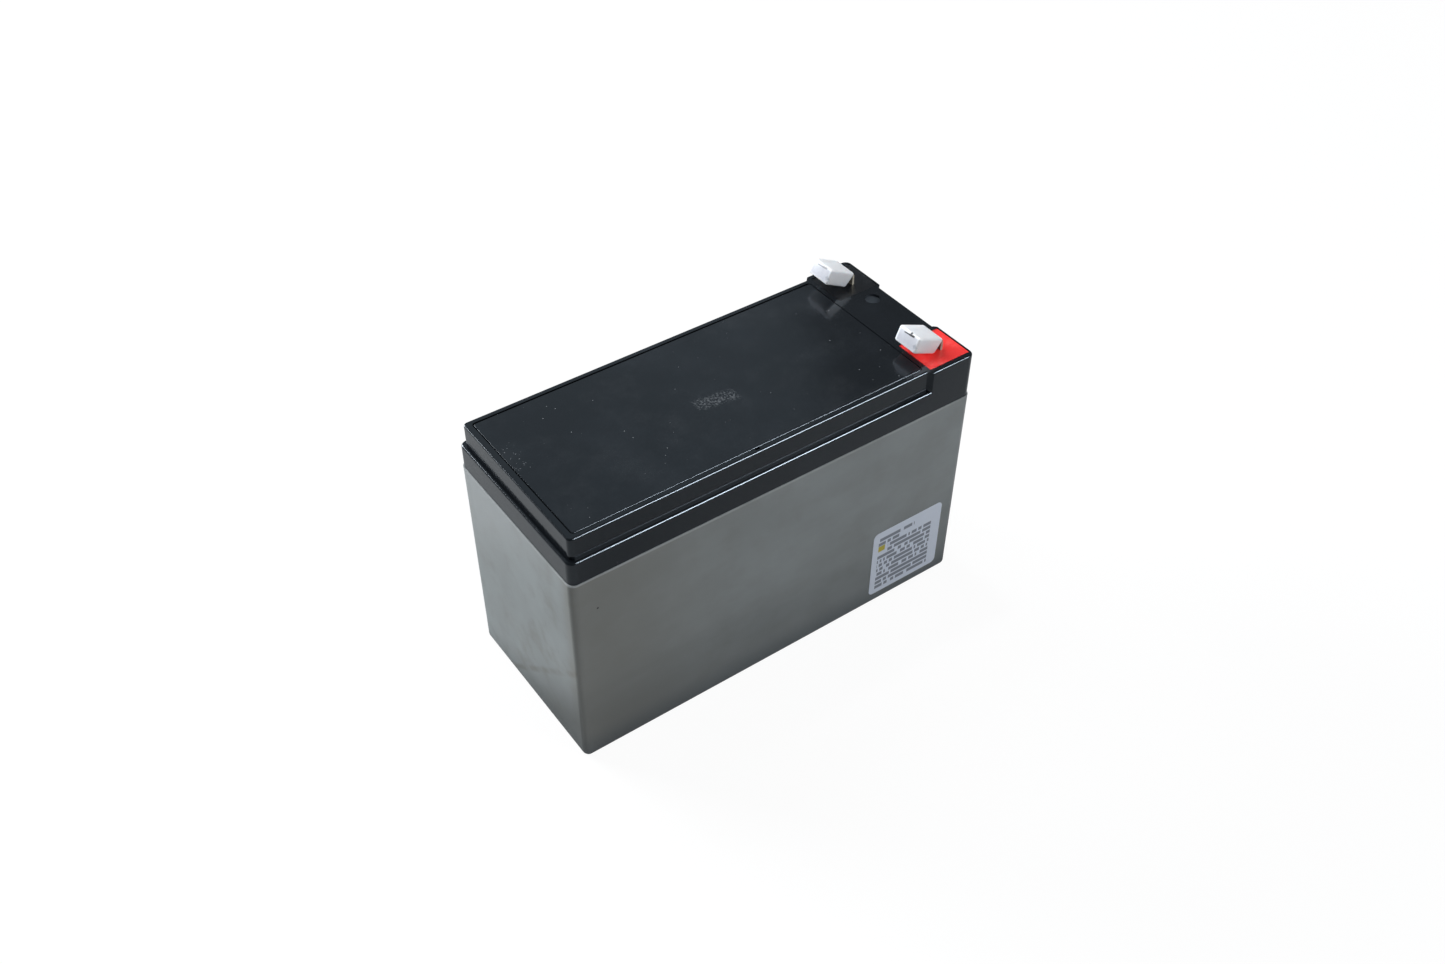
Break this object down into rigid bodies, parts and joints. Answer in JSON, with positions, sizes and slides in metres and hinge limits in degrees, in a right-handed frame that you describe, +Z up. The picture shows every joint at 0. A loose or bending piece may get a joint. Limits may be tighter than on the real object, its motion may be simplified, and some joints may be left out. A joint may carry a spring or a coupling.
{
  "type": "sealed lead acid battery",
  "caption": "Rectangular sealed lead acid battery with a stepped lid, a flush cover plate and two capped blade tabs at one end.",
  "frame": {"origin": "middle of the underside", "axes": "+X towards the terminal end, -Y the front wall with the sticker, +Z up"},
  "size_m": [0.151, 0.065, 0.1037],
  "materials": {
    "container_plastic": "satin",
    "lid_plastic": "gloss",
    "red_resin": "satin",
    "black_resin": "satin",
    "tinned_brass": "satin",
    "cap_plastic": "satin",
    "sticker_paper": "satin",
    "valve_rubber": "matte",
    "positive_mass": "matte",
    "negative_lead": "matte",
    "glass_mat": "matte",
    "weld_lead": "satin"
  },
  "bodies": {
    "root": {"container": "container_plastic", "lid": "lid_plastic", "cover_plate": "lid_plastic", "label": "sticker_paper", "positive_terminal": "tinned_brass", "negative_terminal": "tinned_brass", "positive_seal": "red_resin", "negative_seal": "black_resin", "positive_terminal_cap": "cap_plastic", "negative_terminal_cap": "cap_plastic", "valve_cap_1": "valve_rubber", "cell_1_positive_plates": "positive_mass", "cell_1_negative_plates": "negative_lead", "cell_1_separators": "glass_mat", "valve_cap_2": "valve_rubber", "cell_2_positive_plates": "positive_mass", "cell_2_negative_plates": "negative_lead", "cell_2_separators": "glass_mat", "valve_cap_3": "valve_rubber", "cell_3_positive_plates": "positive_mass", "cell_3_negative_plates": "negative_lead", "cell_3_separators": "glass_mat", "valve_cap_4": "valve_rubber", "cell_4_positive_plates": "positive_mass", "cell_4_negative_plates": "negative_lead", "cell_4_separators": "glass_mat", "valve_cap_5": "valve_rubber", "cell_5_positive_plates": "positive_mass", "cell_5_negative_plates": "negative_lead", "cell_5_separators": "glass_mat", "valve_cap_6": "valve_rubber", "cell_6_positive_plates": "positive_mass", "cell_6_negative_plates": "negative_lead", "cell_6_separators": "glass_mat", "intercell_weld_1": "weld_lead", "intercell_weld_2": "weld_lead", "intercell_weld_3": "weld_lead", "intercell_weld_4": "weld_lead", "intercell_weld_5": "weld_lead"}
  },
  "joints": []
}
